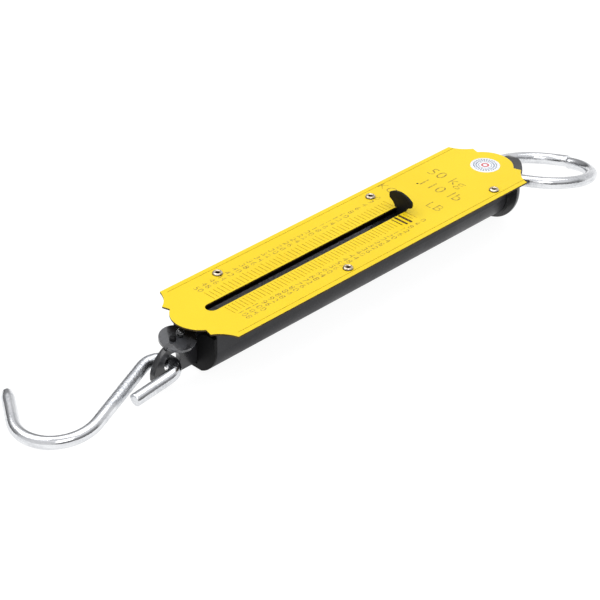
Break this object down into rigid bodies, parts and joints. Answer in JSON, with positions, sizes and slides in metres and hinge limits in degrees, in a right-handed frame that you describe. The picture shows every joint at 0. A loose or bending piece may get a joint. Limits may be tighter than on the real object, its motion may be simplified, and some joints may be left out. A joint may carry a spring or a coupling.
{
  "type": "crane scale",
  "caption": "Mechanical hanging spring balance: flanged U-channel housing, slotted dial plate, extension spring, sliding flat draw bar with pointer, wire load hook and suspension ring.",
  "frame": {"origin": "centre of the flat on the housing channel's back, at the foot of the channel's length", "axes": "+X along the scale towards the suspension ring, +Y towards the kilogram side of the dial, +Z out of the face plate"},
  "size_m": [0.3536, 0.0694, 0.0375],
  "materials": {
    "dial": "yellow lacquer with stamped marks",
    "black_paint": "gloss black enamel",
    "zinc": "bright zinc or nickel plate",
    "steel": "plain drawn steel",
    "brass": "tarnished brass",
    "label": "printed film"
  },
  "bodies": {
    "housing": {"face_plate": "dial", "housing_channel": "black_paint", "bottom_end_cap": "black_paint", "top_end_cap": "black_paint", "face_eyelets": "brass", "inspection_label": "label", "hanger_bar": "black_paint", "hanger_pin": "steel", "upper_spring_plug": "steel", "main_spring": "steel"},
    "draw_bar": {"draw_bar": "black_paint", "draw_bar_pin": "steel", "lower_spring_plug": "steel", "stop_disc": "black_paint", "stop_disc_rivet": "black_paint", "stop_disc_pin": "black_paint", "pointer": "black_paint", "pointer_pin": "steel"},
    "hook": {"load_hook": "zinc"},
    "ring": {"suspension_ring": "zinc"}
  },
  "joints": [
    {"name": "draw_bar_slide", "type": "slide", "parent": "housing", "child": "draw_bar", "axis": [-1, 0, 0], "range_m": [0, 0.12], "stiffness_N_per_m": 4220, "deforming": ["main_spring"]},
    {"name": "hook_swing", "type": "hinge", "parent": "draw_bar", "child": "hook", "pos_m": [-0.1136, 0, 0.0095], "axis": [0, 1, 0], "range_deg": [-75, 60]},
    {"name": "ring_swing", "type": "hinge", "parent": "housing", "child": "ring", "pos_m": [0.1115, 0, 0.0124], "axis": [0, 1, 0], "range_deg": [-95, 75]}
  ]
}
